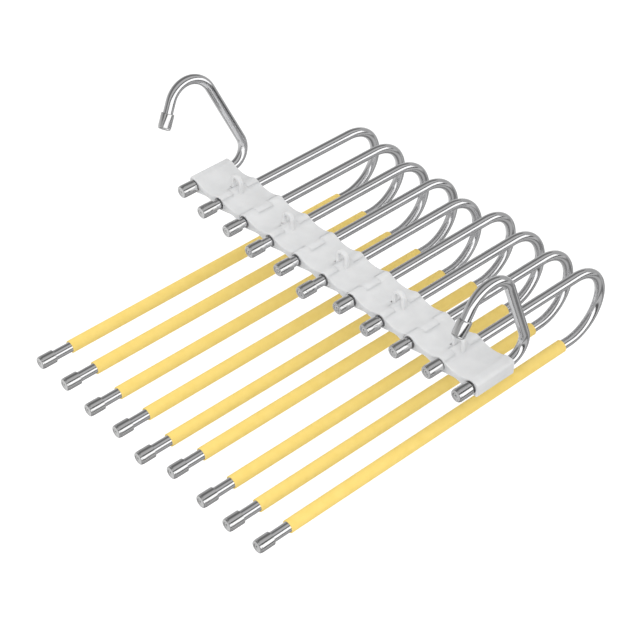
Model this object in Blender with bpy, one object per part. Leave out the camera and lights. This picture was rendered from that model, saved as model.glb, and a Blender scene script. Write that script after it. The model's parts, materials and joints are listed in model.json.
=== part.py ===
"""Multi tier trouser hanger.

Nine U-shaped rods of steel tube hang side by side from a hinged plastic strip. The rods are
the hinge pins of the strip, and a tube hook is pinned at each of its ends. Held by both hooks
the strip lies level, as here. Let down from one hook it hangs straight down.

X runs along the strip, Y along the rods with the bends at the back, and Z is up. The origin is
the point inside the crown of the first hook where it rests on the wardrobe rail.
"""
import math

import bmesh
import bpy
from mathutils import Matrix, Vector

# Strip: ten moulded links in a row, each pinned to the next
LINK_COUNT = 10
PITCH = 0.033
STRIP_WIDTH = 0.0405
BARREL_RADIUS = 0.0067
WEB_TOP_RISE = 0.0006
WEB_THICKNESS = 0.0026
UNDERSIDE_FILLET = 0.0015
CENTRE_KNUCKLE_WIDTH = 0.0154
KNUCKLE_SIDE_GAP = 0.0003
KNUCKLE_ROUND_GAP = 0.0004

# Upright eye on the first knuckle of every second link: a small arch that stands on the barrel
EYE_WIDTH = 0.013
EYE_TOP = 0.0175
EYE_LIMB = 0.003
EYE_THICKNESS = 0.004

# Raised collar round each bore, on the strip's front edge
COLLAR_RADIUS = 0.0053
COLLAR_HEIGHT = 0.0006
COLLAR_ROOT = 0.0006

# Steel tube of rods and hooks
TUBE_RADIUS = 0.0043
BORE_GAP = 0.0003
HOOK_BORE_GAP = 0.00045

# Rod: an upper arm through the strip, a half-round bend, and a lower arm that carries the trousers
ROD_DROP = 0.0685
UPPER_ARM = 0.167
LOWER_REACH = 0.170

# Soft sleeve on the lower arm
SLEEVE_RADIUS = 0.00555
SLEEVE_LENGTH = 0.299
SLEEVE_SETBACK = 0.0302
SLEEVE_GAP = 0.0003
SLEEVE_EDGE = 0.0004

# Pressed end cap, the same on every tube end
CAP_RADIUS = 0.00565
CAP_LENGTH = 0.0138
CAP_END = 0.0014
CAP_EDGE = 0.0013
CAP_DIMPLE_RADIUS = 0.0016
CAP_DIMPLE_DEPTH = 0.0005
CAP_GAP = 0.0003

# Stubs in front of the strip: the gap behind a cap pushed home, and how far the loosest rod slid out
STUB_GAP = 0.0003
STUB_PULL = 0.0108
ROD_PULL_SHARES = (0.49, 0.49, 0.78, 0.57, 1.0, 0.12, 0.28, 0.3, 0.0)
HOOK_PULL_SHARES = (0.01, 0.11)

# Swing of each rod at rest, towards the strip's far end
ROD_SWING_DEG = (-2.0, -1.2, 1.5, 2.3, 3.6, -0.3, 4.2, 2.7, 0.9)

# Hook: the tube leaves the strip's back edge, turns up, leans forward and curls over the rail
HOOK_BEND_RADIUS = 0.0162
HOOK_BACK_LENGTH = 0.0582
HOOK_CROWN_RADIUS = 0.0227
HOOK_TIP_LENGTH = 0.0238
HOOK_BACK_LEAN_DEG = 19.9
HOOK_FRONT_FLARE_DEG = 31.6
HOOK_SIDE_LEAN_DEG = (-14.6, -1.2)

# Facets
TUBE_SIDES = 12
BORE_SIDES = 14
TURNED_SIDES = 14
RECESS_SIDES = 22
EYE_STEPS = 9
BARREL_STEPS = 16
VALLEY_STEPS = 5
UNDERSIDE_STEPS = 2
ROD_BEND_STEPS = 10
HOOK_BEND_STEPS = 7
HOOK_CROWN_STEPS = 9
CUT_OVERRUN = 0.001
MERGE_DISTANCE = 0.000001
SHARP_ANGLE_DEG = 35.0

# Sizes that follow from the ones above
HALF_WIDTH = STRIP_WIDTH / 2
HALF_CENTRE = CENTRE_KNUCKLE_WIDTH / 2
HALF_PITCH = PITCH / 2
VALLEY_RADIUS = (HALF_PITCH ** 2 + WEB_TOP_RISE ** 2 - BARREL_RADIUS ** 2) / (2 * (BARREL_RADIUS - WEB_TOP_RISE))
VALLEY_TURN = math.atan2(VALLEY_RADIUS + WEB_TOP_RISE, HALF_PITCH)
BEND_RADIUS = ROD_DROP / 2
LOWER_ARM = UPPER_ARM + LOWER_REACH
STUB_LENGTH = COLLAR_HEIGHT + STUB_GAP + CAP_LENGTH


def stub_face(pull_share):
    """How far behind zero the face of a stub's cap lies along Y."""
    return -HALF_WIDTH - STUB_LENGTH - pull_share * STUB_PULL


def bore_radius(pin_radius, gap, sides):
    """Corner radius of a faceted bore whose flats clear a round pin by the gap."""
    return (pin_radius + gap) / math.cos(math.pi / sides)


def clear_scene():
    for obj in list(bpy.data.objects):
        bpy.data.objects.remove(obj, do_unlink=True)


def material(name, colour, roughness, metallic=0.0):
    made = bpy.data.materials.new(name)
    made.use_nodes = True
    shader = made.node_tree.nodes["Principled BSDF"]
    shader.inputs["Base Color"].default_value = (*colour, 1.0)
    shader.inputs["Roughness"].default_value = roughness
    shader.inputs["Metallic"].default_value = metallic
    return made


def empty(name, parent=None, location=(0, 0, 0), turn_y_deg=0.0):
    made = bpy.data.objects.new(name, None)
    bpy.context.scene.collection.objects.link(made)
    made.parent = parent
    made.location = location
    made.rotation_euler = (0, math.radians(turn_y_deg), 0)
    return made


def finish_mesh(bm, name):
    """Close, orient and shade a mesh."""
    bmesh.ops.remove_doubles(bm, verts=bm.verts, dist=MERGE_DISTANCE)
    bmesh.ops.recalc_face_normals(bm, faces=bm.faces)
    mesh = bpy.data.meshes.new(name)
    bm.to_mesh(mesh)
    bm.free()
    mesh.shade_smooth()
    mesh.set_sharp_from_angle(angle=math.radians(SHARP_ANGLE_DEG))
    return mesh


def piece(name, mesh, finish, parent, location=(0, 0, 0), turn_x_deg=0.0):
    made = bpy.data.objects.new(name, mesh)
    bpy.context.scene.collection.objects.link(made)
    if not mesh.materials:
        mesh.materials.append(finish)
    made.parent = parent
    made.location = location
    made.rotation_euler = (math.radians(turn_x_deg), 0, 0)
    return made


def guide(name, mesh, parent):
    """A tool for a Boolean, left out of the build."""
    made = bpy.data.objects.new(name, mesh)
    bpy.context.scene.collection.objects.link(made)
    made.parent = parent
    made.hide_render = True
    made.display_type = "WIRE"
    return made


def boolean(obj, operation, tool):
    cut = obj.modifiers.new(tool.name, "BOOLEAN")
    cut.operation = operation
    cut.solver = "EXACT"
    cut.object = tool


# Turned shapes: a profile of (radius, place along Y) spun round an axis along Y
def spin_profile(bm, profile, sides, closed=False, x=0.0):
    corners = [bm.verts.new((x, along, radius)) for radius, along in profile]
    edges = [bm.edges.new(pair) for pair in zip(corners, corners[1:])]
    if closed:
        edges.append(bm.edges.new((corners[-1], corners[0])))
    bmesh.ops.spin(bm, geom=corners + edges, cent=(x, 0, 0), axis=(0, 1, 0),
                   angle=math.tau, steps=sides, use_duplicate=False)


def cylinder(bm, radius, start, end, sides, x=0.0):
    """A closed cylinder along Y, between two places on it."""
    turn = Matrix.Rotation(math.pi / 2, 4, "X")
    place = Matrix.Translation(Vector((x, (start + end) / 2, 0)))
    bmesh.ops.create_cone(bm, cap_ends=True, segments=sides, radius1=radius, radius2=radius,
                          depth=end - start, matrix=place @ turn)


# Strip links
def arc(centre_x, centre_z, radius, start, end, steps):
    """Points of an arc in the XZ plane, from one angle to the other."""
    turns = [start + (end - start) * step / steps for step in range(steps + 1)]
    return [(centre_x + radius * math.cos(turn), centre_z + radius * math.sin(turn)) for turn in turns]


def link_outline():
    """Side view of a link: two barrels, and a web whose top sweeps from one to the other in one arc."""
    under_z = WEB_TOP_RISE - WEB_THICKNESS - UNDERSIDE_FILLET
    under_x = math.sqrt((BARREL_RADIUS + UNDERSIDE_FILLET) ** 2 - under_z ** 2)
    under_turn = math.atan2(under_z, under_x)
    under = arc(under_x, under_z, UNDERSIDE_FILLET, math.pi / 2, math.pi + under_turn, UNDERSIDE_STEPS)
    barrel = arc(0, 0, BARREL_RADIUS, math.tau + under_turn, VALLEY_TURN, BARREL_STEPS)
    valley_z = WEB_TOP_RISE + VALLEY_RADIUS
    valley = arc(HALF_PITCH, valley_z, VALLEY_RADIUS, math.pi + VALLEY_TURN, 1.5 * math.pi, VALLEY_STEPS)
    near_half = under + barrel[1:] + valley[1:]
    far_half = [(PITCH - x, z) for x, z in reversed(near_half)]
    return near_half + far_half


def eye_outline():
    """Side view of an eye: a round arch on two straight legs that end inside the knuckle."""
    outer = EYE_WIDTH / 2
    inner = outer - EYE_LIMB
    crown_z = EYE_TOP - outer
    over = arc(0, crown_z, outer, 0, math.pi, EYE_STEPS)
    back = arc(0, crown_z, inner, math.pi, 0, EYE_STEPS)
    return [(outer, 0)] + over + [(-outer, 0), (-inner, 0)] + back + [(inner, 0)]


def plate(bm, outline, width):
    """A closed outline in the XZ plane made as wide as asked, half of it each way along Y."""
    corners = [bm.verts.new((x, -width / 2, z)) for x, z in outline]
    side = bm.faces.new(corners)
    grown = bmesh.ops.extrude_face_region(bm, geom=[side])
    moved = [item for item in grown["geom"] if isinstance(item, bmesh.types.BMVert)]
    bmesh.ops.translate(bm, vec=(0, width, 0), verts=moved)


def link_body(name):
    bm = bmesh.new()
    plate(bm, link_outline(), STRIP_WIDTH)
    return finish_mesh(bm, name)


def has_outer_knuckles(number):
    return number % 2 == 1


def link_extras(number):
    """The collars on the front edge, and the eye on a link with a centre knuckle."""
    bm = bmesh.new()
    collar_places = []
    if has_outer_knuckles(number):
        collar_places = [0, PITCH]
    elif number == LINK_COUNT:
        collar_places = [PITCH]
    for x in collar_places:
        cylinder(bm, COLLAR_RADIUS, -HALF_WIDTH - COLLAR_HEIGHT, -HALF_WIDTH + COLLAR_ROOT, TURNED_SIDES, x)
    if not has_outer_knuckles(number):
        plate(bm, eye_outline(), EYE_THICKNESS)
    return finish_mesh(bm, f"link_{number:02d}_extras")


def centre_recess(has_eye):
    """Profile of the room for a centre knuckle, stepped out where the knuckle's eye leans back over it."""
    radius = BARREL_RADIUS + KNUCKLE_ROUND_GAP
    reach = HALF_CENTRE + KNUCKLE_SIDE_GAP
    step = []
    if has_eye:
        eye_reach = EYE_THICKNESS / 2 + KNUCKLE_SIDE_GAP
        eye_room = math.hypot(EYE_WIDTH / 2, BARREL_RADIUS * math.sin(VALLEY_TURN)) + KNUCKLE_ROUND_GAP
        step = [(radius, -eye_reach), (eye_room, -eye_reach), (eye_room, eye_reach), (radius, eye_reach)]
    return [(0, -reach), (radius, -reach)] + step + [(radius, reach), (0, reach)]


def link_recesses(number):
    """Room for the knuckles of the neighbours, none at the strip's two ends."""
    bm = bmesh.new()
    radius = BARREL_RADIUS + KNUCKLE_ROUND_GAP
    places = []
    if number > 1:
        places.append(0)
    if number < LINK_COUNT:
        places.append(PITCH)
    for x in places:
        if has_outer_knuckles(number):
            spin_profile(bm, centre_recess(has_eye=x > 0), RECESS_SIDES, x=x)
        else:
            far = HALF_WIDTH + CUT_OVERRUN
            cylinder(bm, radius, HALF_CENTRE, far, RECESS_SIDES, x)
            cylinder(bm, radius, -far, -HALF_CENTRE, RECESS_SIDES, x)
    return finish_mesh(bm, f"link_{number:02d}_recesses")


def link_bores(number):
    bm = bmesh.new()
    far = HALF_WIDTH + COLLAR_HEIGHT + CUT_OVERRUN
    for x, holds_hook in ((0, number == 1), (PITCH, number == LINK_COUNT)):
        gap = HOOK_BORE_GAP if holds_hook else BORE_GAP
        cylinder(bm, bore_radius(TUBE_RADIUS, gap, BORE_SIDES), -far, far, BORE_SIDES, x)
    return finish_mesh(bm, f"link_{number:02d}_bores")


def build_strip(parent, plastic):
    """The ten links, each parented to the one before at their shared pivot."""
    links = []
    for number in range(1, LINK_COUNT + 1):
        name = f"link_{number:02d}"
        place = (PITCH, 0, 0) if links else (0, 0, 0)
        link = piece(name, link_body(name), plastic, links[-1] if links else parent, place)
        extras = guide(f"{name}_extras", link_extras(number), link)
        recesses = guide(f"{name}_recesses", link_recesses(number), link)
        bores = guide(f"{name}_bores", link_bores(number), link)
        boolean(link, "DIFFERENCE", recesses)
        boolean(link, "UNION", extras)
        boolean(link, "DIFFERENCE", bores)
        links.append(link)
    return links


# Tubes: a ring of edges extruded along straights and spun round bends, then closed at both ends
def start_ring(bm, y, z=0.0):
    turn = Matrix.Rotation(math.pi / 2, 4, "X")
    made = bmesh.ops.create_circle(bm, cap_ends=False, segments=TUBE_SIDES, radius=TUBE_RADIUS,
                                   matrix=Matrix.Translation((0, y, z)) @ turn)
    edges = {edge for vert in made["verts"] for edge in vert.link_edges}
    bmesh.ops.edgeloop_fill(bm, edges=list(edges))
    return list(edges)


def run_straight(bm, edges, step):
    grown = bmesh.ops.extrude_edge_only(bm, edges=edges)
    verts = [item for item in grown["geom"] if isinstance(item, bmesh.types.BMVert)]
    bmesh.ops.translate(bm, vec=step, verts=verts)
    return [item for item in grown["geom"] if isinstance(item, bmesh.types.BMEdge)]


def run_bend(bm, edges, centre, angle, steps):
    """Turn round an axis along X. A positive angle takes +Y towards +Z."""
    verts = {vert for edge in edges for vert in edge.verts}
    grown = bmesh.ops.spin(bm, geom=list(verts) + edges, cent=centre, axis=(1, 0, 0), angle=angle,
                           steps=steps, use_duplicate=False)
    return [item for item in grown["geom_last"] if isinstance(item, bmesh.types.BMEdge)]


def rod_tube(name, face):
    """Upper arm from the stub's cap to the bend, the bend, and the lower arm to its cap."""
    bm = bmesh.new()
    edges = start_ring(bm, face + CAP_END + CAP_GAP)
    edges = run_straight(bm, edges, (0, UPPER_ARM - CAP_END - CAP_GAP, 0))
    centre = (0, face + UPPER_ARM, -BEND_RADIUS)
    edges = run_bend(bm, edges, centre, -math.pi, ROD_BEND_STEPS)
    edges = run_straight(bm, edges, (0, -LOWER_ARM + CAP_END + CAP_GAP, 0))
    bmesh.ops.edgeloop_fill(bm, edges=edges)
    return finish_mesh(bm, name)


def hook_route():
    """Places and directions of the hook's runs in its own plane, from the pivot at the mid width."""
    lean = math.radians(HOOK_BACK_LEAN_DEG)
    flare = math.radians(HOOK_FRONT_FLARE_DEG)
    bend_centre = Vector((0, HALF_WIDTH, HOOK_BEND_RADIUS))
    up = Vector((0, -math.sin(lean), math.cos(lean)))
    inward = Vector((0, -math.cos(lean), -math.sin(lean)))
    back_foot = bend_centre - inward * HOOK_BEND_RADIUS
    back_top = back_foot + up * HOOK_BACK_LENGTH
    crown_centre = back_top + inward * HOOK_CROWN_RADIUS
    down = Vector((0, -math.sin(flare), -math.cos(flare)))
    front_top = crown_centre + Vector((0, -math.cos(flare), math.sin(flare))) * HOOK_CROWN_RADIUS
    tip = front_top + down * HOOK_TIP_LENGTH
    return {
        "bend_centre": bend_centre, "bend_turn": math.pi / 2 + lean, "up": up, "crown_centre": crown_centre,
        "crown_turn": math.pi - lean - flare, "down": down, "tip": tip,
    }


def hook_tube(name, face):
    route = hook_route()
    bm = bmesh.new()
    edges = start_ring(bm, face + CAP_END + CAP_GAP)
    through = route["bend_centre"].y - face - CAP_END - CAP_GAP
    edges = run_straight(bm, edges, (0, through, 0))
    edges = run_bend(bm, edges, route["bend_centre"], route["bend_turn"], HOOK_BEND_STEPS)
    edges = run_straight(bm, edges, route["up"] * HOOK_BACK_LENGTH)
    edges = run_bend(bm, edges, route["crown_centre"], route["crown_turn"], HOOK_CROWN_STEPS)
    edges = run_straight(bm, edges, route["down"] * (HOOK_TIP_LENGTH - CAP_END - CAP_GAP))
    bmesh.ops.edgeloop_fill(bm, edges=edges)
    return finish_mesh(bm, name)


def rail_point():
    """Where the first hook's crown rests on the rail, seen from the first pivot."""
    highest = hook_route()["crown_centre"] + Vector((0, 0, HOOK_CROWN_RADIUS - TUBE_RADIUS))
    return Matrix.Rotation(math.radians(HOOK_SIDE_LEAN_DEG[0]), 3, "Y") @ highest


# End cap: a cup with a rounded rim and a small centre dimple, open towards +Y
def cap_mesh():
    bore = bore_radius(TUBE_RADIUS, CAP_GAP, TURNED_SIDES)
    profile = [
        (0, CAP_DIMPLE_DEPTH), (CAP_DIMPLE_RADIUS, 0), (CAP_RADIUS - CAP_EDGE, 0), (CAP_RADIUS, CAP_EDGE),
        (CAP_RADIUS, CAP_LENGTH), (bore, CAP_LENGTH), (bore, CAP_END), (0, CAP_END),
    ]
    bm = bmesh.new()
    spin_profile(bm, profile, TURNED_SIDES)
    return finish_mesh(bm, "end_cap")


def sleeve_mesh():
    """A soft tube that is slid over the lower arm, with its two rims eased."""
    bore = bore_radius(TUBE_RADIUS, SLEEVE_GAP, TURNED_SIDES)
    inner_rim = SLEEVE_RADIUS - SLEEVE_EDGE
    profile = [
        (bore, 0), (inner_rim, 0), (SLEEVE_RADIUS, SLEEVE_EDGE), (SLEEVE_RADIUS, SLEEVE_LENGTH - SLEEVE_EDGE),
        (inner_rim, SLEEVE_LENGTH), (bore, SLEEVE_LENGTH),
    ]
    bm = bmesh.new()
    spin_profile(bm, profile, TURNED_SIDES, closed=True)
    return finish_mesh(bm, "sleeve")


def build_rod(number, link, steel, rubber, caps, sleeve):
    """A rod on its link's far pivot, with its two caps and its sleeve."""
    face = stub_face(ROD_PULL_SHARES[number - 1])
    low_face = face - LOWER_REACH
    pivot = empty(f"rod_{number}_pivot", link, (PITCH, 0, 0), -ROD_SWING_DEG[number - 1])
    name = f"rod_{number}"
    piece(f"{name}_tube", rod_tube(f"{name}_tube", face), steel, pivot)
    piece(f"{name}_stub_cap", caps, steel, pivot, (0, face, 0))
    piece(f"{name}_end_cap", caps, steel, pivot, (0, low_face, -ROD_DROP))
    piece(f"{name}_sleeve", sleeve, rubber, pivot, (0, low_face + SLEEVE_SETBACK, -ROD_DROP))


def build_hook(number, parent, place, steel, caps):
    """A hook on the strip's first or last pivot, with a cap on its stub and on its tip."""
    face = stub_face(HOOK_PULL_SHARES[number - 1])
    pivot = empty(f"hook_{number}_pivot", parent, place, HOOK_SIDE_LEAN_DEG[number - 1])
    name = f"hook_{number}"
    piece(f"{name}_tube", hook_tube(f"{name}_tube", face), steel, pivot)
    piece(f"{name}_stub_cap", caps, steel, pivot, (0, face, 0))
    tip_turn = 90 - HOOK_FRONT_FLARE_DEG
    piece(f"{name}_tip_cap", caps, steel, pivot, hook_route()["tip"], tip_turn)


def build():
    clear_scene()
    steel = material("polished_steel", (0.78, 0.78, 0.79), 0.18, 1.0)
    plastic = material("frosted_plastic", (0.82, 0.83, 0.84), 0.45)
    rubber = material("yellow_rubber", (0.95, 0.70, 0.20), 0.75)
    caps = cap_mesh()
    sleeve = sleeve_mesh()
    first_pivot = empty("first_pivot", None, -rail_point())
    links = build_strip(first_pivot, plastic)
    for number in range(1, LINK_COUNT):
        build_rod(number, links[number - 1], steel, rubber, caps, sleeve)
    build_hook(1, first_pivot, (0, 0, 0), steel, caps)
    build_hook(2, links[-1], (PITCH, 0, 0), steel, caps)
    bpy.context.view_layer.update()


build()
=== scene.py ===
"""Multi tier trouser hanger: the looks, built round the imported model.

Nine U-shaped rods of steel tube with yellow sleeves hang from a hinged strip of frosted plastic,
and a steel hook is pinned at each of its ends. X runs along the strip, Y along the rods, Z is up.
"""
import json
import math

import bpy
from mathutils import Matrix, Vector


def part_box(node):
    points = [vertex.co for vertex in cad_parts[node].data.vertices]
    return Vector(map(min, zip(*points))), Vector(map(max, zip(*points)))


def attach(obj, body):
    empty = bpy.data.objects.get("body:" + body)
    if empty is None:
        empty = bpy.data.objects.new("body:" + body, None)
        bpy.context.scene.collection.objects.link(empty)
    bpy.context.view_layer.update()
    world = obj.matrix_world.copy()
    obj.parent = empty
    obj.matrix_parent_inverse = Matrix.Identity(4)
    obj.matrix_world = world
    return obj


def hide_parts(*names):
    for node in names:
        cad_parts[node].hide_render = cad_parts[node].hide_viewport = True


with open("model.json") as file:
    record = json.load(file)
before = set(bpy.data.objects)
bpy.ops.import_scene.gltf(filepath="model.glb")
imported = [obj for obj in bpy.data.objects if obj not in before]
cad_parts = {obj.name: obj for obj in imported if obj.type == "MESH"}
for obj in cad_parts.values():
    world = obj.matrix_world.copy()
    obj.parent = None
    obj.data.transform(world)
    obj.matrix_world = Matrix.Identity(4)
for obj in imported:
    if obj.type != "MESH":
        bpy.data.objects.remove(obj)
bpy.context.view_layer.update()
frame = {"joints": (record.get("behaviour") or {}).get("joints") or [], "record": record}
bpy.context.scene.view_settings.view_transform = "Standard"

# Pins
# Every rod and both hooks go through the strip along Y, so one place on each pin's axis,
# in the middle of the strip's width, carries all that belongs to it.
joints = {joint["name"]: joint for joint in frame["joints"]}
mounts = {mount["name"]: mount for mount in frame["record"]["mounts"]}
LINK_COUNT = 10


def pin(number):
    """The middle of a pin, counted from the first hook."""
    names = ["strip_drop"] + [f"strip_curl_{joint}" for joint in range(1, LINK_COUNT)] + ["hook_2_turn"]
    return Vector(joints[names[number - 1]]["pos_m"])


# Camera
# A long lens that looks down on the strip's near right corner, as in the photograph.
CAMERA_AZIMUTH_DEG = 48.12
CAMERA_ELEVATION_DEG = 41.79
CAMERA_ROLL_DEG = 0.24
CAMERA_LENS_MM = 99.23
CAMERA_SENSOR_MM = 36.0
CAMERA_FROM_FIRST_PIN = Vector((0.9634, -0.74, 0.9174))

bpy.ops.object.select_all(action="DESELECT")
bpy.ops.object.camera_add()
camera = bpy.context.active_object
camera.name = "camera"
camera.data.lens = CAMERA_LENS_MM
camera.data.sensor_width = CAMERA_SENSOR_MM
camera.matrix_world = (
    Matrix.Translation(pin(1) + CAMERA_FROM_FIRST_PIN)
    @ Matrix.Rotation(math.radians(CAMERA_AZIMUTH_DEG), 4, "Z")
    @ Matrix.Rotation(math.radians(90 - CAMERA_ELEVATION_DEG), 4, "X")
    @ Matrix.Rotation(math.radians(CAMERA_ROLL_DEG), 4, "Z")
)
bpy.context.scene.camera = camera

# Strip links
# Ten short links of frosted, slightly see-through plastic, injection moulded with soft edges.
# Each has a barrel at both ends, and the barrels of two neighbours interlock on the rod between
# them: outer knuckles on the odd links, one centre knuckle and an upright eye on the even ones.
PITCH = (pin(2) - pin(1)).length
STRIP_WIDTH = 0.0405
HALF_WIDTH = STRIP_WIDTH / 2
BARREL_RADIUS = 0.0067
WEB_TOP_RISE = 0.0026
WEB_UNDER_DROP = 0.0032
UNDER_RADIUS = 0.012
END_TOP_CORNER = 0.003
END_LOW_CORNER = 0.001
HALF_CENTRE_KNUCKLE = 0.0077
KNUCKLE_SIDE_GAP = 0.00009
KNUCKLE_ROUND_GAP = 0.0001
LINK_RIM = 0.0009
SEAM_EDGE = 0.00006
EYE_WIDTH = 0.013
EYE_TOP = 0.019
EYE_LIMB = 0.003
EYE_THICKNESS = 0.004
EYE_EDGE = 0.0009
TUBE_RADIUS = 0.0043
PIN_BORE_RADIUS = 0.0046
HOOK_BORE_RADIUS = 0.00475
CUT_OVERRUN = 0.001
MERGE_DISTANCE = 0.000001
ALONG = (1, 0, 0)
ACROSS = (0, 1, 0)
CUTTER_SIDES = 64
BARREL_STEPS = 40
VALLEY_STEPS = 24
UNDER_STEPS = 12
FLANK_STEPS = 4
CORNER_STEPS = 8
EYE_STEPS = 28
RIM_SEGMENTS = 4
EYE_SEGMENTS = 5
FINE_SEGMENTS = 2
SHARP_DEG = 50
SMOOTH_DEG = 40

# One arc touches both barrels and leaves the web's top a little above the pins
HALF_PITCH = PITCH / 2
VALLEY_RADIUS = (HALF_PITCH ** 2 + WEB_TOP_RISE ** 2 - BARREL_RADIUS ** 2) / (
    2 * (BARREL_RADIUS - WEB_TOP_RISE)
)
VALLEY_TURN = math.atan2(VALLEY_RADIUS + WEB_TOP_RISE, HALF_PITCH)

# Below, a straight flank leaves each barrel and runs into a small arc under the middle of the web
UNDER_CENTRE_DROP = WEB_UNDER_DROP + UNDER_RADIUS
UNDER_LEAN = math.acos((BARREL_RADIUS + UNDER_RADIUS) / math.hypot(HALF_PITCH, UNDER_CENTRE_DROP))
UNDER_TURN = -math.atan2(UNDER_CENTRE_DROP, HALF_PITCH) - UNDER_LEAN


def start_point(place):
    """One vertex in edit mode, the start of a drawn outline."""
    bpy.ops.object.select_all(action="DESELECT")
    bpy.ops.mesh.primitive_plane_add(size=BARREL_RADIUS, location=place, enter_editmode=True)
    bpy.ops.mesh.merge(type="CENTER")


def run_on(step):
    bpy.ops.mesh.extrude_region_move(TRANSFORM_OT_translate={"value": step})


def turn_on(steps, turn, centre, axis):
    """Carry the selected end on round a centre, against the right-hand rule for a positive turn."""
    bpy.ops.mesh.spin(steps=steps, angle=turn, center=centre, axis=axis, dupli=False)


def leave_edit(name):
    """Merge what meets, turn the faces outwards and put the object's place in its mesh."""
    bpy.ops.mesh.select_all(action="SELECT")
    bpy.ops.mesh.remove_doubles(threshold=MERGE_DISTANCE)
    bpy.ops.mesh.normals_make_consistent(inside=False)
    bpy.ops.object.mode_set(mode="OBJECT")
    bpy.ops.object.transform_apply(location=True, rotation=True, scale=True)
    made = bpy.context.active_object
    made.name = name
    return made


def close_plate(width):
    """Fill the drawn outline and pull it across the strip."""
    bpy.ops.mesh.select_all(action="SELECT")
    bpy.ops.mesh.edge_face_add()
    run_on((0, width, 0))


def square_off(outward, first_corner, last_corner):
    """The strip's own ends: flat outside, with one rounded corner above and a tighter one below."""
    front = -HALF_WIDTH
    x = PITCH if outward > 0 else 0
    first = outward * (BARREL_RADIUS - first_corner)
    last = outward * (BARREL_RADIUS - last_corner)
    run_on((first, 0, 0))
    turn_on(CORNER_STEPS, -math.pi / 2, (x + first, front, first), ACROSS)
    run_on((0, 0, -first - last))
    turn_on(CORNER_STEPS, -math.pi / 2, (x + last, front, -last), ACROSS)
    run_on((-last, 0, 0))


def draw_link(name, first_is_end, last_is_end):
    """Side outline drawn round from under the web's middle, then pulled across the strip's width."""
    front = -HALF_WIDTH
    touch_x = BARREL_RADIUS * math.cos(UNDER_TURN)
    touch_z = BARREL_RADIUS * math.sin(UNDER_TURN)
    slope = math.pi / 2 + UNDER_TURN
    arc_x = UNDER_RADIUS * math.sin(slope)
    arc_z = UNDER_RADIUS * math.cos(slope) - UNDER_CENTRE_DROP
    flank = (touch_x - HALF_PITCH + arc_x, 0, touch_z - arc_z)
    valley_centre = (HALF_PITCH, front, WEB_TOP_RISE + VALLEY_RADIUS)
    quarter_turn = math.pi / 2
    start_point((HALF_PITCH, front, -WEB_UNDER_DROP))
    turn_on(UNDER_STEPS, slope, (HALF_PITCH, front, -UNDER_CENTRE_DROP), ACROSS)
    run_on(flank)
    if first_is_end:
        turn_on(FLANK_STEPS, -quarter_turn - UNDER_TURN, (0, front, 0), ACROSS)
        square_off(-1, END_LOW_CORNER, END_TOP_CORNER)
        turn_on(BARREL_STEPS // 4, VALLEY_TURN - quarter_turn, (0, front, 0), ACROSS)
    else:
        turn_on(BARREL_STEPS, VALLEY_TURN - math.tau - UNDER_TURN, (0, front, 0), ACROSS)
    turn_on(VALLEY_STEPS, math.pi - 2 * VALLEY_TURN, valley_centre, ACROSS)
    if last_is_end:
        turn_on(BARREL_STEPS // 4, VALLEY_TURN - quarter_turn, (PITCH, front, 0), ACROSS)
        square_off(1, END_TOP_CORNER, END_LOW_CORNER)
        turn_on(FLANK_STEPS, -quarter_turn - UNDER_TURN, (PITCH, front, 0), ACROSS)
    else:
        turn_on(BARREL_STEPS, VALLEY_TURN - math.tau - UNDER_TURN, (PITCH, front, 0), ACROSS)
    run_on((flank[0], 0, -flank[2]))
    turn_on(UNDER_STEPS, slope, (HALF_PITCH, front, -UNDER_CENTRE_DROP), ACROSS)
    close_plate(STRIP_WIDTH)
    made = leave_edit(name)
    ease_edges(made, LINK_RIM, RIM_SEGMENTS, SHARP_DEG)
    return made


def cutter(radius, start, end, x):
    """A round cutter along Y, between two places on it."""
    bpy.ops.object.select_all(action="DESELECT")
    bpy.ops.mesh.primitive_cylinder_add(
        vertices=CUTTER_SIDES, radius=radius, depth=end - start,
        location=(x, (start + end) / 2, 0), rotation=(math.pi / 2, 0, 0),
    )
    bpy.ops.object.transform_apply(location=True, rotation=True, scale=True)
    return bpy.context.active_object


def draw_eye(name):
    """A round arch on two straight legs that end inside the knuckle, with its edges rounded over."""
    outer = EYE_WIDTH / 2
    inner = outer - EYE_LIMB
    front = -EYE_THICKNESS / 2
    crown_z = EYE_TOP - outer
    start_point((outer, front, 0))
    run_on((0, 0, crown_z))
    turn_on(EYE_STEPS, math.pi, (0, front, crown_z), ACROSS)
    run_on((0, 0, -crown_z))
    run_on((EYE_LIMB, 0, 0))
    run_on((0, 0, crown_z))
    turn_on(EYE_STEPS, -math.pi, (0, front, crown_z), ACROSS)
    run_on((0, 0, -crown_z))
    close_plate(EYE_THICKNESS)
    made = leave_edit(name)
    ease_edges(made, EYE_EDGE, EYE_SEGMENTS, SHARP_DEG)
    return made


def apply_boolean(piece, tool, operation):
    change = piece.modifiers.new("change", "BOOLEAN")
    change.operation = operation
    change.object = tool
    bpy.ops.object.select_all(action="DESELECT")
    piece.select_set(True)
    bpy.context.view_layer.objects.active = piece
    bpy.ops.object.modifier_apply(modifier=change.name)
    bpy.data.objects.remove(tool)


def ease_edges(piece, width, segments, angle_deg):
    edge = piece.modifiers.new("edge", "BEVEL")
    edge.width = width
    edge.segments = segments
    edge.limit_method = "ANGLE"
    edge.angle_limit = math.radians(angle_deg)
    bpy.context.view_layer.objects.active = piece
    bpy.ops.object.modifier_apply(modifier=edge.name)


def shade(piece, angle_deg=SMOOTH_DEG):
    bpy.ops.object.select_all(action="DESELECT")
    piece.select_set(True)
    bpy.context.view_layer.objects.active = piece
    bpy.ops.object.shade_smooth_by_angle(angle=math.radians(angle_deg))


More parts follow.
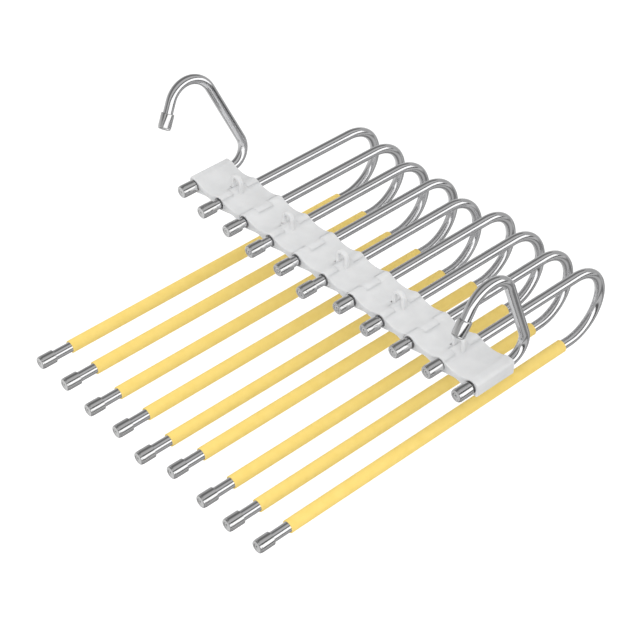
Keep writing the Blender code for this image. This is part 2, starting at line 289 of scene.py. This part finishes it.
def frosted_plastic():
    """Cloudy, nearly white and soft to light, with the fine grain of an etched mould."""
    made = bpy.data.materials.new("frosted_plastic")
    made.use_nodes = True
    nodes = made.node_tree.nodes
    links = made.node_tree.links
    shader = nodes["Principled BSDF"]
    shader.inputs["Subsurface Weight"].default_value = 0.35
    shader.inputs["Subsurface Radius"].default_value = (1.0, 0.95, 0.9)
    shader.inputs["Subsurface Scale"].default_value = 0.003
    shader.inputs["IOR"].default_value = 1.49
    place = nodes.new("ShaderNodeTexCoord")
    cloud = nodes.new("ShaderNodeTexNoise")
    cloud.inputs["Scale"].default_value = 90.0
    cloud.inputs["Detail"].default_value = 3.0
    links.new(place.outputs["Object"], cloud.inputs["Vector"])
    tint = nodes.new("ShaderNodeValToRGB")
    tint.color_ramp.elements[0].position = 0.35
    tint.color_ramp.elements[0].color = (0.70, 0.704, 0.708, 1)
    tint.color_ramp.elements[1].position = 0.68
    tint.color_ramp.elements[1].color = (0.742, 0.745, 0.748, 1)
    links.new(cloud.outputs["Fac"], tint.inputs["Fac"])
    links.new(tint.outputs["Color"], shader.inputs["Base Color"])
    gloss = nodes.new("ShaderNodeMapRange")
    gloss.inputs["To Min"].default_value = 0.36
    gloss.inputs["To Max"].default_value = 0.52
    links.new(cloud.outputs["Fac"], gloss.inputs["Value"])
    links.new(gloss.outputs["Result"], shader.inputs["Roughness"])
    grain = nodes.new("ShaderNodeTexNoise")
    grain.inputs["Scale"].default_value = 1800.0
    grain.inputs["Detail"].default_value = 2.0
    links.new(place.outputs["Object"], grain.inputs["Vector"])
    bump = nodes.new("ShaderNodeBump")
    bump.inputs["Strength"].default_value = 0.25
    bump.inputs["Distance"].default_value = 0.00004
    links.new(grain.outputs["Fac"], bump.inputs["Height"])
    links.new(bump.outputs["Normal"], shader.inputs["Normal"])
    return made


plastic = frosted_plastic()
far_side = HALF_WIDTH + CUT_OVERRUN
recess_radius = BARREL_RADIUS + KNUCKLE_ROUND_GAP
eye_room_radius = math.hypot(EYE_WIDTH / 2, BARREL_RADIUS * math.sin(VALLEY_TURN)) + KNUCKLE_ROUND_GAP
eye_room_side = EYE_THICKNESS / 2 + KNUCKLE_SIDE_GAP
for number in range(1, LINK_COUNT + 1):
    outer_knuckles = number % 2 == 1
    link = draw_link(f"strip_link_{number:02d}", number == 1, number == LINK_COUNT)
    recess_places = []
    if number > 1:
        recess_places.append(0)
    if number < LINK_COUNT:
        recess_places.append(PITCH)
    for x in recess_places:
        if outer_knuckles:
            reach = HALF_CENTRE_KNUCKLE + KNUCKLE_SIDE_GAP
            apply_boolean(link, cutter(recess_radius, -reach, reach, x), "DIFFERENCE")
        else:
            apply_boolean(link, cutter(recess_radius, HALF_CENTRE_KNUCKLE, far_side, x), "DIFFERENCE")
            apply_boolean(link, cutter(recess_radius, -far_side, -HALF_CENTRE_KNUCKLE, x), "DIFFERENCE")
    if outer_knuckles:
        apply_boolean(link, cutter(eye_room_radius, -eye_room_side, eye_room_side, PITCH), "DIFFERENCE")
    else:
        apply_boolean(link, draw_eye("eye"), "UNION")
    first_bore = HOOK_BORE_RADIUS if number == 1 else PIN_BORE_RADIUS
    last_bore = HOOK_BORE_RADIUS if number == LINK_COUNT else PIN_BORE_RADIUS
    apply_boolean(link, cutter(first_bore, -far_side, far_side, 0), "DIFFERENCE")
    apply_boolean(link, cutter(last_bore, -far_side, far_side, PITCH), "DIFFERENCE")
    ease_edges(link, SEAM_EDGE, FINE_SEGMENTS, SHARP_DEG)
    link.location = pin(number)
    shade(link)
    bpy.ops.object.transform_apply(location=True, rotation=True, scale=True)
    link.data.materials.append(plastic)
    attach(link, f"strip_{number:02d}")
    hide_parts(f"link_{number:02d}")

# Flange rings
# A thin pressed steel washer seats in the strip's front edge round every tube. Its dark grey is
# partly painted shade of the gap at the bore mouth. It turns with the outer knuckle that holds it.
RING_RADIUS = 0.0053
RING_BORE_RADIUS = 0.0049
RING_THICKNESS = 0.0006
RING_EDGE = 0.00015
RING_SIDES = 64
DRAWN_LENGTH_SHARE = 60


def draw_ring(name):
    """A disc inset to the bore, opened, and thickened forwards from the strip's edge."""
    bpy.ops.object.select_all(action="DESELECT")
    bpy.ops.mesh.primitive_cylinder_add(
        vertices=RING_SIDES, radius=RING_RADIUS, depth=RING_THICKNESS,
        location=(0, -RING_THICKNESS / 2, 0), rotation=(math.pi / 2, 0, 0),
    )
    bpy.ops.object.transform_apply(location=True, rotation=True, scale=True)
    ring = bpy.context.active_object
    ring.name = name
    apply_boolean(ring, cutter(RING_BORE_RADIUS, -RING_THICKNESS - CUT_OVERRUN, CUT_OVERRUN, 0), "DIFFERENCE")
    ease_edges(ring, RING_EDGE, FINE_SEGMENTS, SHARP_DEG)
    shade(ring)
    return ring


def brushed_steel(name, colour, low_gloss, high_gloss, line_scale, line_height):
    """Steel with faint drawing lines along the rods."""
    made = bpy.data.materials.new(name)
    made.use_nodes = True
    nodes = made.node_tree.nodes
    links = made.node_tree.links
    shader = nodes["Principled BSDF"]
    shader.inputs["Base Color"].default_value = (*colour, 1)
    shader.inputs["Metallic"].default_value = 1.0
    place = nodes.new("ShaderNodeTexCoord")
    stretch = nodes.new("ShaderNodeMapping")
    stretch.inputs["Scale"].default_value = (line_scale, line_scale / DRAWN_LENGTH_SHARE, line_scale)
    links.new(place.outputs["Object"], stretch.inputs["Vector"])
    drawn = nodes.new("ShaderNodeTexNoise")
    drawn.inputs["Scale"].default_value = 1.0
    drawn.inputs["Detail"].default_value = 3.0
    links.new(stretch.outputs["Vector"], drawn.inputs["Vector"])
    gloss = nodes.new("ShaderNodeMapRange")
    gloss.inputs["To Min"].default_value = low_gloss
    gloss.inputs["To Max"].default_value = high_gloss
    links.new(drawn.outputs["Fac"], gloss.inputs["Value"])
    links.new(gloss.outputs["Result"], shader.inputs["Roughness"])
    bump = nodes.new("ShaderNodeBump")
    bump.inputs["Strength"].default_value = 0.2
    bump.inputs["Distance"].default_value = line_height
    links.new(drawn.outputs["Fac"], bump.inputs["Height"])
    links.new(bump.outputs["Normal"], shader.inputs["Normal"])
    return made


def copy_to(pattern, name, placement):
    """A copy with its own mesh, which takes the placement into it."""
    made = pattern.copy()
    made.data = pattern.data.copy()
    made.name = name
    bpy.context.collection.objects.link(made)
    made.matrix_world = placement
    bpy.ops.object.select_all(action="DESELECT")
    made.select_set(True)
    bpy.context.view_layer.objects.active = made
    bpy.ops.object.transform_apply(location=True, rotation=True, scale=True)
    return made


# A real steel washer, its dark grey partly painted shade of the shadowed gap at the bore mouth
ring_steel_painted_shade = brushed_steel("washer_steel_painted_shade", (0.30, 0.30, 0.31), 0.30, 0.42, 900.0, 0.00001)
ring_pattern = draw_ring("flange_ring")
ring_pattern.data.materials.append(ring_steel_painted_shade)
for number in range(1, LINK_COUNT + 2):
    holder = min(number if number % 2 == 1 else number - 1, LINK_COUNT)
    seat = pin(number) - Vector((0, HALF_WIDTH, 0))
    ring = copy_to(ring_pattern, f"flange_ring_{number:02d}", Matrix.Translation(seat))
    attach(ring, f"strip_{holder:02d}")
bpy.data.objects.remove(ring_pattern)

# Rod tubes
# Each rod is one length of thin stainless tube, bent to a U and polished. Its upper arm goes
# through the strip as the pin of a joint, and its lower arm carries the trousers.
ROD_COUNT = 9
UPPER_ARM = 0.167
LOWER_REACH = 0.170
ROD_DROP = 0.0685
CAP_END = 0.0014
CAP_GAP = 0.0003
TUBE_SIDES = 64
BEND_STEPS = 40
BEND_RADIUS = ROD_DROP / 2


def start_tube(y):
    """An open ring of edges across Y, ready to be carried along the tube's line."""
    bpy.ops.object.select_all(action="DESELECT")
    bpy.ops.mesh.primitive_circle_add(
        vertices=TUBE_SIDES, radius=TUBE_RADIUS, location=(0, y, 0), rotation=(math.pi / 2, 0, 0),
        enter_editmode=True,
    )


def close_tube(name):
    bpy.ops.mesh.select_all(action="SELECT")
    bpy.ops.mesh.fill_holes(sides=0)
    made = leave_edit(name)
    shade(made)
    return made


def draw_rod(name):
    """From inside the stub's cap, at zero, through the bend to inside the lower cap."""
    inset = CAP_END + CAP_GAP
    start_tube(inset)
    run_on((0, UPPER_ARM - inset, 0))
    turn_on(BEND_STEPS, math.pi, (0, UPPER_ARM, -BEND_RADIUS), ALONG)
    run_on((0, inset - UPPER_ARM - LOWER_REACH, 0))
    return close_tube(name)


def rod_placement(number):
    """Where the rod's stub face is: on its pin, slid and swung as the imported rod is."""
    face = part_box(f"rod_{number}_stub_cap")[0].y
    low_cap = sum(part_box(f"rod_{number}_end_cap"), Vector()) / 2
    axis = pin(number + 1)
    swing = math.atan2(axis.x - low_cap.x, axis.z - low_cap.z)
    return Matrix.Translation((axis.x, face, axis.z)) @ Matrix.Rotation(swing, 4, "Y")


tube_steel = brushed_steel("tube_steel", (0.80, 0.80, 0.81), 0.10, 0.17, 1400.0, 0.000004)
rod_pattern = draw_rod("rod_tube")
rod_pattern.data.materials.append(tube_steel)
for number in range(1, ROD_COUNT + 1):
    tube = copy_to(rod_pattern, f"rod_{number}_bent_tube", rod_placement(number))
    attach(tube, f"rod_{number}")
    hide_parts(f"rod_{number}_tube")
bpy.data.objects.remove(rod_pattern)

# Sleeves
# A soft matt yellow sleeve is pushed over the lower arm, so trousers don't slip off. It is cut
# from an extruded hose, with the wall showing at both ends and the cut edges a little rounded.
# In the photograph the steel mirrors no yellow and the plastic catches none, so the sleeves stay
# out of reflections and throw no light.
SLEEVE_RADIUS = 0.00555
SLEEVE_BORE_RADIUS = 0.00445
SLEEVE_LENGTH = 0.299
SLEEVE_SETBACK = 0.0302
SLEEVE_EDGE = 0.0004
SLEEVE_SIDES = 56
SLEEVE_EDGE_STEPS = 4


def turned(name, profile, sides):
    """A profile of (radius, place along Y), drawn in the upper half and spun right round Y."""
    first_radius, first_place = profile[0]
    start_point((0, first_place, first_radius))
    for (radius, place), (next_radius, next_place) in zip(profile, profile[1:]):
        run_on((0, next_place - place, next_radius - radius))
    bpy.ops.mesh.select_all(action="SELECT")
    turn_on(sides, math.tau, (0, 0, 0), ACROSS)
    return leave_edit(name)


def quarter(centre_radius, centre_place, size, start, end, steps):
    """Points on a rounded corner of a profile. Zero turns out from the axis and a quarter turn along Y."""
    turns = [start + (end - start) * step / steps for step in range(steps + 1)]
    return [(centre_radius + size * math.cos(turn), centre_place + size * math.sin(turn)) for turn in turns]


def draw_sleeve(name):
    outer = SLEEVE_RADIUS - SLEEVE_EDGE
    inner = SLEEVE_BORE_RADIUS + SLEEVE_EDGE
    near = SLEEVE_EDGE
    far = SLEEVE_LENGTH - SLEEVE_EDGE
    quarter_turn = math.pi / 2
    profile = quarter(inner, near, SLEEVE_EDGE, 2 * quarter_turn, 3 * quarter_turn, SLEEVE_EDGE_STEPS)
    profile += quarter(outer, near, SLEEVE_EDGE, -quarter_turn, 0, SLEEVE_EDGE_STEPS)
    profile += quarter(outer, far, SLEEVE_EDGE, 0, quarter_turn, SLEEVE_EDGE_STEPS)
    profile += quarter(inner, far, SLEEVE_EDGE, quarter_turn, 2 * quarter_turn, SLEEVE_EDGE_STEPS)
    profile.append(profile[0])
    made = turned(name, profile, SLEEVE_SIDES)
    shade(made)
    return made


def soft_rubber():
    """Pastel yellow, matt and a little powdery, with a fine skin and slight unevenness."""
    made = bpy.data.materials.new("yellow_rubber")
    made.use_nodes = True
    nodes = made.node_tree.nodes
    links = made.node_tree.links
    shader = nodes["Principled BSDF"]
    shader.inputs["Specular IOR Level"].default_value = 0.3
    place = nodes.new("ShaderNodeTexCoord")
    patch = nodes.new("ShaderNodeTexNoise")
    patch.inputs["Scale"].default_value = 130.0
    patch.inputs["Detail"].default_value = 4.0
    links.new(place.outputs["Object"], patch.inputs["Vector"])
    tint = nodes.new("ShaderNodeValToRGB")
    tint.color_ramp.elements[0].position = 0.3
    tint.color_ramp.elements[0].color = (0.93, 0.68, 0.176, 1)
    tint.color_ramp.elements[1].position = 0.7
    tint.color_ramp.elements[1].color = (0.96, 0.715, 0.205, 1)
    links.new(patch.outputs["Fac"], tint.inputs["Fac"])
    links.new(tint.outputs["Color"], shader.inputs["Base Color"])
    gloss = nodes.new("ShaderNodeMapRange")
    gloss.inputs["To Min"].default_value = 0.62
    gloss.inputs["To Max"].default_value = 0.78
    links.new(patch.outputs["Fac"], gloss.inputs["Value"])
    links.new(gloss.outputs["Result"], shader.inputs["Roughness"])
    skin = nodes.new("ShaderNodeTexNoise")
    skin.inputs["Scale"].default_value = 2200.0
    skin.inputs["Detail"].default_value = 3.0
    links.new(place.outputs["Object"], skin.inputs["Vector"])
    bump = nodes.new("ShaderNodeBump")
    bump.inputs["Strength"].default_value = 0.35
    bump.inputs["Distance"].default_value = 0.00005
    links.new(skin.outputs["Fac"], bump.inputs["Height"])
    links.new(bump.outputs["Normal"], shader.inputs["Normal"])
    return made


rubber = soft_rubber()
sleeve_pattern = draw_sleeve("sleeve")
sleeve_pattern.data.materials.append(rubber)
sleeve_seat = Matrix.Translation((0, SLEEVE_SETBACK - LOWER_REACH, -ROD_DROP))
for number in range(1, ROD_COUNT + 1):
    sleeve = copy_to(sleeve_pattern, f"rod_{number}_grip_sleeve", rod_placement(number) @ sleeve_seat)
    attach(sleeve, f"rod_{number}")
    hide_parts(f"rod_{number}_sleeve")
    sleeve.visible_glossy = False
    sleeve.visible_diffuse = False
bpy.data.objects.remove(sleeve_pattern)

# End caps
# Every tube end is closed by a deep drawn steel cap, pressed on. A groove is rolled in behind its
# rounded nose, the face is coined a little hollow with a dimple in its centre, and the open lip
# is turned in on the tube.
CAP_RADIUS = 0.00565
CAP_LENGTH = 0.0138
CAP_BORE_RADIUS = 0.0046
CAP_LIP = 0.00045
CAP_NOSE_RADIUS = 0.0011
CAP_NOSE_STEP = 0.0002
CAP_GROOVE_PLACE = 0.0017
CAP_GROOVE_WIDTH = 0.0006
CAP_GROOVE_DEPTH = 0.00035
CAP_FACE_RADIUS = 0.0034
CAP_FACE_SLOPE = 0.0007
CAP_FACE_DEPTH = 0.0004
CAP_DIMPLE_RADIUS = 0.0014
CAP_DIMPLE_DEPTH = 0.0006
CAP_DIMPLE_SHARE = 0.8
CAP_SIDES = 64
CAP_NOSE_STEPS = 8
CAP_LIP_STEPS = 6
CAP_SHARP_DEG = 25


def draw_cap(name):
    """A cup open towards +Y, its face at zero."""
    quarter_turn = math.pi / 2
    nose = CAP_RADIUS - CAP_NOSE_STEP - CAP_NOSE_RADIUS
    groove_start = CAP_GROOVE_PLACE - CAP_GROOVE_WIDTH / 2
    groove_end = CAP_GROOVE_PLACE + CAP_GROOVE_WIDTH / 2
    groove_floor = CAP_RADIUS - CAP_GROOVE_DEPTH
    profile = [
        (0, CAP_FACE_DEPTH + CAP_DIMPLE_DEPTH),
        (CAP_DIMPLE_RADIUS / 2, CAP_FACE_DEPTH + CAP_DIMPLE_DEPTH * CAP_DIMPLE_SHARE),
        (CAP_DIMPLE_RADIUS, CAP_FACE_DEPTH),
        (CAP_FACE_RADIUS - CAP_FACE_SLOPE, CAP_FACE_DEPTH),
        (CAP_FACE_RADIUS, 0),
    ]
    profile += quarter(nose, CAP_NOSE_RADIUS, CAP_NOSE_RADIUS, -quarter_turn, 0, CAP_NOSE_STEPS)
    profile += [
        (groove_floor, groove_start),
        (groove_floor, CAP_GROOVE_PLACE),
        (CAP_RADIUS, groove_end),
        (CAP_RADIUS, CAP_LENGTH - CAP_LIP),
    ]
    lip = quarter(CAP_RADIUS - CAP_LIP, CAP_LENGTH - CAP_LIP, CAP_LIP, 0, quarter_turn, CAP_LIP_STEPS)
    profile += lip[1:]
    profile += [
        (CAP_BORE_RADIUS, CAP_LENGTH),
        (CAP_BORE_RADIUS, CAP_END),
        (0, CAP_END),
    ]
    made = turned(name, profile, CAP_SIDES)
    ease_edges(made, CAP_NOSE_STEP / 2, FINE_SEGMENTS, CAP_SHARP_DEG)
    shade(made, SHARP_DEG)
    return made


cap_steel = brushed_steel("cap_steel", (0.76, 0.76, 0.76), 0.09, 0.15, 1100.0, 0.000006)
cap_pattern = draw_cap("end_cap")
cap_pattern.data.materials.append(cap_steel)


def add_cap(name, node, body, placement):
    cap = copy_to(cap_pattern, name, placement)
    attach(cap, body)
    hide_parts(node)


low_seat = Matrix.Translation((0, -LOWER_REACH, -ROD_DROP))
for number in range(1, ROD_COUNT + 1):
    rod = f"rod_{number}"
    add_cap(f"{rod}_stub_nose", f"{rod}_stub_cap", rod, rod_placement(number))
    add_cap(f"{rod}_low_nose", f"{rod}_end_cap", rod, rod_placement(number) @ low_seat)

# Hooks
# Two more lengths of the same tube, bent twice: up from the strip's back edge, then forward and
# over the wardrobe rail. Each turns in the strip's end barrel and wears the same caps.
HOOK_BEND_RADIUS = 0.0162
HOOK_BACK_LENGTH = 0.0582
HOOK_CROWN_RADIUS = 0.0227
HOOK_TIP_LENGTH = 0.0238
HOOK_BACK_LEAN = math.radians(19.9)
HOOK_FRONT_FLARE = math.radians(31.6)
HOOK_BEND_STEPS = 28
HOOK_CROWN_STEPS = 36

hook_inward = Vector((0, -math.cos(HOOK_BACK_LEAN), -math.sin(HOOK_BACK_LEAN)))
hook_up = Vector((0, -math.sin(HOOK_BACK_LEAN), math.cos(HOOK_BACK_LEAN)))
hook_down = Vector((0, -math.sin(HOOK_FRONT_FLARE), -math.cos(HOOK_FRONT_FLARE)))
hook_outward = Vector((0, -math.cos(HOOK_FRONT_FLARE), math.sin(HOOK_FRONT_FLARE)))
hook_bend_centre = Vector((0, HALF_WIDTH, HOOK_BEND_RADIUS))
hook_back_top = hook_bend_centre - hook_inward * HOOK_BEND_RADIUS + hook_up * HOOK_BACK_LENGTH
hook_crown_centre = hook_back_top + hook_inward * HOOK_CROWN_RADIUS
hook_tip = hook_crown_centre + hook_outward * HOOK_CROWN_RADIUS + hook_down * HOOK_TIP_LENGTH


def draw_hook(name, face):
    """From inside the stub's cap through the strip, up, over and down, round the pin's middle."""
    inset = CAP_END + CAP_GAP
    crown_turn = math.pi - HOOK_BACK_LEAN - HOOK_FRONT_FLARE
    start_tube(face + inset)
    run_on((0, hook_bend_centre.y - face - inset, 0))
    turn_on(HOOK_BEND_STEPS, -math.pi / 2 - HOOK_BACK_LEAN, hook_bend_centre, ALONG)
    run_on(hook_up * HOOK_BACK_LENGTH)
    turn_on(HOOK_CROWN_STEPS, -crown_turn, hook_crown_centre, ALONG)
    run_on(hook_down * (HOOK_TIP_LENGTH - inset))
    return close_tube(name)


for number, pin_number in ((1, 1), (2, LINK_COUNT + 1)):
    body = f"hook_{number}"
    axis = pin(pin_number)
    rail = Vector(mounts[f"rail_hook_{number}"]["pos_m"])
    side_lean = math.atan2(rail.x - axis.x, rail.z - axis.z)
    placement = Matrix.Translation(axis) @ Matrix.Rotation(side_lean, 4, "Y")
    stub_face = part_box(f"{body}_stub_cap")[0].y - axis.y
    pattern = draw_hook(f"{body}_pattern", stub_face)
    hook = copy_to(pattern, f"{body}_bent_tube", placement)
    bpy.data.objects.remove(pattern)
    hook.data.materials.append(tube_steel)
    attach(hook, body)
    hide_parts(f"{body}_tube")
    add_cap(f"{body}_stub_nose", f"{body}_stub_cap", body, placement @ Matrix.Translation((0, stub_face, 0)))
    tip_turn = Matrix.Rotation(math.pi / 2 - HOOK_FRONT_FLARE, 4, "X")
    add_cap(f"{body}_tip_nose", f"{body}_tip_cap", body, placement @ Matrix.Translation(hook_tip) @ tip_turn)
bpy.data.objects.remove(cap_pattern)

# Floor
# A plain white floor well below the hanging object. It keeps a soft shadow, and a little light of
# its own brings the rest of it up to the photograph's white.
FLOOR_DROP = 0.45
FLOOR_SIZE = 8.0
FLOOR_GREY = 0.9
FLOOR_GLOW = 0.25

bpy.ops.object.select_all(action="DESELECT")
bpy.ops.mesh.primitive_plane_add(size=FLOOR_SIZE, location=(0, 0, -FLOOR_DROP))
floor = bpy.context.active_object
floor.name = "floor"
white = bpy.data.materials.new("white_floor")
white.use_nodes = True
floor_nodes = white.node_tree.nodes
floor_links = white.node_tree.links
floor_shader = floor_nodes["Principled BSDF"]
floor_shader.inputs["Base Color"].default_value = (FLOOR_GREY, FLOOR_GREY, FLOOR_GREY, 1)
floor_shader.inputs["Roughness"].default_value = 0.9
floor_shader.inputs["Specular IOR Level"].default_value = 0.0
floor_shader.inputs["Emission Color"].default_value = (1, 1, 1, 1)
floor_ray = floor_nodes.new("ShaderNodeLightPath")
floor_glow = floor_nodes.new("ShaderNodeMath")
floor_glow.operation = "MULTIPLY"
floor_glow.inputs[1].default_value = FLOOR_GLOW
floor_links.new(floor_ray.outputs["Is Camera Ray"], floor_glow.inputs[0])
floor_links.new(floor_glow.outputs["Value"], floor_shader.inputs["Emission Strength"])
floor.data.materials.append(white)
floor.visible_glossy = False

# Studio
# The background is white to the camera. Soft light comes from all round, with one large lamp above
# the front. A drum round the rods, which only shiny surfaces see, draws the bands on the steel.
WORLD_LIGHT = 0.92
LAMP_POWER = 9.0
LAMP_SIZE = 1.6
LAMP_FROM_STRIP = Vector((0.6, -1.1, 1.3))

world = bpy.data.worlds.new("studio")
bpy.context.scene.world = world
world.use_nodes = True
world_nodes = world.node_tree.nodes
world_links = world.node_tree.links
background = world_nodes["Background"]
background.inputs["Color"].default_value = (1, 1, 1, 1)
world_ray = world_nodes.new("ShaderNodeLightPath")
seen = world_nodes.new("ShaderNodeMath")
seen.operation = "MAXIMUM"
world_links.new(world_ray.outputs["Is Camera Ray"], seen.inputs[0])
world_links.new(world_ray.outputs["Is Glossy Ray"], seen.inputs[1])
seen_through = world_nodes.new("ShaderNodeMath")
seen_through.operation = "MAXIMUM"
world_links.new(seen.outputs["Value"], seen_through.inputs[0])
world_links.new(world_ray.outputs["Is Transmission Ray"], seen_through.inputs[1])
strength = world_nodes.new("ShaderNodeMapRange")
strength.inputs["To Min"].default_value = WORLD_LIGHT
strength.inputs["To Max"].default_value = 1.0
world_links.new(seen_through.outputs["Value"], strength.inputs["Value"])
world_links.new(strength.outputs["Result"], background.inputs["Strength"])

strip_middle = (pin(1) + pin(LINK_COUNT + 1)) / 2


def aim(thing, place, target):
    """Put a thing at a place and turn its -Z towards the target."""
    thing.location = place
    thing.rotation_euler = (target - place).to_track_quat("-Z", "Y").to_euler()


bpy.ops.object.light_add(type="AREA")
lamp = bpy.context.active_object
lamp.name = "soft_lamp"
lamp.data.energy = LAMP_POWER
lamp.data.size = LAMP_SIZE
lamp.visible_glossy = False
aim(lamp, strip_middle + LAMP_FROM_STRIP, strip_middle)

DRUM_RADIUS = 3.0
DRUM_LENGTH = 12.0
DRUM_GREYS = (
    (-180, 0.52), (-160, 0.66), (-137, 0.78), (-112, 0.55), (-94, 0.20), (-78, 0.18), (-64, 0.46),
    (-52, 0.50), (-48, 0.16), (-43, 0.16), (-39, 0.56), (-26, 0.56), (-20, 0.07), (-7, 0.07),
    (-2, 1.35), (37, 1.35), (42, 0.09), (57, 0.09), (63, 0.55), (98, 0.50), (112, 0.17), (138, 0.16),
    (160, 0.38), (180, 0.52),
)
DRUM_END_GREY = 0.42
DRUM_SIDES = 96


def hide_but_from_metal(thing):
    thing.visible_camera = False
    thing.visible_diffuse = False
    thing.visible_transmission = False
    thing.visible_shadow = False


def glow_paint(name):
    made = bpy.data.materials.new(name)
    made.use_nodes = True
    nodes = made.node_tree.nodes
    nodes.remove(nodes["Principled BSDF"])
    glow = nodes.new("ShaderNodeEmission")
    made.node_tree.links.new(glow.outputs["Emission"], nodes["Material Output"].inputs["Surface"])
    return made, glow


def drum_wall_paint():
    """Grey that changes with the angle round the rods, from +X towards +Z."""
    made, glow = glow_paint("drum_wall")
    nodes = made.node_tree.nodes
    links = made.node_tree.links
    place = nodes.new("ShaderNodeTexCoord")
    parts = nodes.new("ShaderNodeSeparateXYZ")
    links.new(place.outputs["Object"], parts.inputs["Vector"])
    angle = nodes.new("ShaderNodeMath")
    angle.operation = "ARCTAN2"
    links.new(parts.outputs["Z"], angle.inputs[0])
    links.new(parts.outputs["X"], angle.inputs[1])
    share = nodes.new("ShaderNodeMapRange")
    share.inputs["From Min"].default_value = -math.pi
    share.inputs["From Max"].default_value = math.pi
    links.new(angle.outputs["Value"], share.inputs["Value"])
    greys = nodes.new("ShaderNodeValToRGB")
    ramp = greys.color_ramp
    while len(ramp.elements) < len(DRUM_GREYS):
        ramp.elements.new(1.0)
    for stop, (angle_deg, grey) in zip(ramp.elements, DRUM_GREYS):
        stop.position = (angle_deg + 180) / 360
        stop.color = (grey, grey, grey, 1)
    links.new(share.outputs["Result"], greys.inputs["Fac"])
    links.new(greys.outputs["Color"], glow.inputs["Color"])
    return made


bpy.ops.object.select_all(action="DESELECT")
bpy.ops.mesh.primitive_cylinder_add(
    vertices=DRUM_SIDES, radius=DRUM_RADIUS, depth=DRUM_LENGTH, end_fill_type="NOTHING",
    rotation=(math.pi / 2, 0, 0),
)
drum = bpy.context.active_object
drum.name = "drum_wall"
bpy.ops.object.transform_apply(location=False, rotation=True, scale=False)
drum.location = strip_middle
drum.data.materials.append(drum_wall_paint())
hide_but_from_metal(drum)

end_paint, end_glow = glow_paint("drum_end")
end_glow.inputs["Color"].default_value = (DRUM_END_GREY, DRUM_END_GREY, DRUM_END_GREY, 1)
for name, side in (("drum_front", -1), ("drum_back", 1)):
    bpy.ops.object.select_all(action="DESELECT")
    bpy.ops.mesh.primitive_circle_add(
        vertices=DRUM_SIDES, radius=DRUM_RADIUS, fill_type="NGON", rotation=(math.pi / 2, 0, 0),
        location=strip_middle + Vector((0, side * DRUM_LENGTH / 2, 0)),
    )
    lid = bpy.context.active_object
    lid.name = name
    lid.data.materials.append(end_paint)
    hide_but_from_metal(lid)
